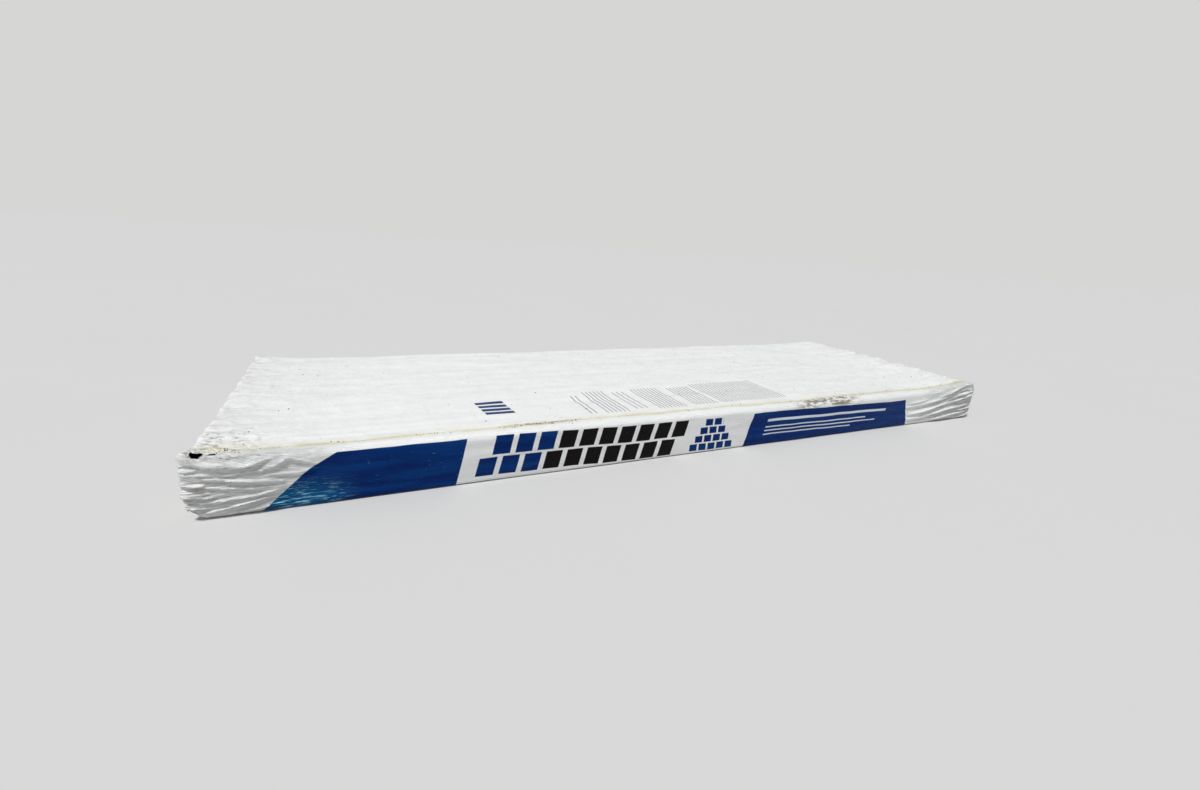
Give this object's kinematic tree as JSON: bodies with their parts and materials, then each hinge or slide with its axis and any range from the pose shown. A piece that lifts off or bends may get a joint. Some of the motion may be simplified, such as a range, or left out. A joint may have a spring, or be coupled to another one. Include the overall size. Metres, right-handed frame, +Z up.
{
  "type": "asphalt shingle bundle",
  "caption": "Flat bundle of asphalt starter shingles wrapped in a printed plastic film sleeve with drawn-in open ends.",
  "frame": {"origin": "centre of the bundle's footprint, on the surface that it lies on", "axes": "+X along the shingles, left to right seen from the front; +Y from the front long side to the back; +Z up through the stack"},
  "size_m": [1.0294, 0.3488, 0.0525],
  "materials": {
    "film": "semi-gloss white printed film",
    "shingle": "granule-surfaced asphalt"
  },
  "bodies": {
    "root": {"wrap_film": "film", "shingle_01": "shingle", "shingle_02": "shingle", "shingle_03": "shingle", "shingle_04": "shingle", "shingle_05": "shingle", "shingle_06": "shingle", "shingle_07": "shingle", "shingle_08": "shingle", "shingle_09": "shingle", "shingle_10": "shingle", "shingle_11": "shingle", "shingle_12": "shingle", "shingle_13": "shingle", "shingle_14": "shingle", "shingle_15": "shingle", "shingle_16": "shingle", "shingle_17": "shingle", "shingle_18": "shingle"}
  },
  "joints": []
}
